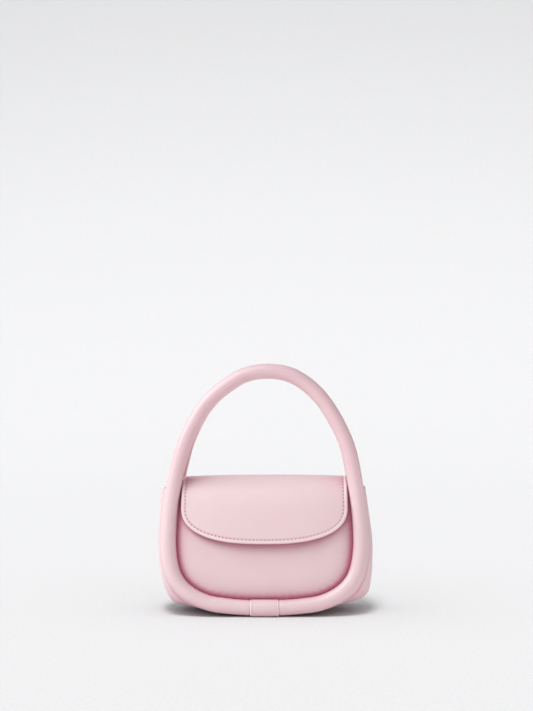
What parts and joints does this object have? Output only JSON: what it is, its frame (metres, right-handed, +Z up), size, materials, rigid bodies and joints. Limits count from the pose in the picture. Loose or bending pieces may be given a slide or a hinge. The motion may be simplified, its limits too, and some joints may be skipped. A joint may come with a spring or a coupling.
{
  "type": "leather handbag",
  "caption": "Small pink top-handle handbag of smooth leather: padded tube frames form the handles and border the panels, with a stitched flap over the mouth.",
  "frame": {"origin": "middle of the footprint, on the surface that the bag stands on", "axes": "+Z up, -Y towards the front with the flap's edge, +X to the right seen from the front"},
  "size_m": [0.2002, 0.0796, 0.2297],
  "materials": {
    "tube_leather": "smooth satin pink leather over padding",
    "panel_leather": "smooth satin pink leather",
    "flap_leather": "smooth satin pink leather, edge stitched",
    "clasp_metal": "plain nickel-coloured disc"
  },
  "bodies": {
    "root": {"front_frame_tube": "tube_leather", "rear_frame_tube": "tube_leather", "front_keeper": "tube_leather", "rear_keeper": "tube_leather", "front_panel": "panel_leather", "rear_panel": "panel_leather", "gusset": "panel_leather", "flap": "flap_leather", "magnetic_clasp": "clasp_metal"}
  },
  "joints": []
}
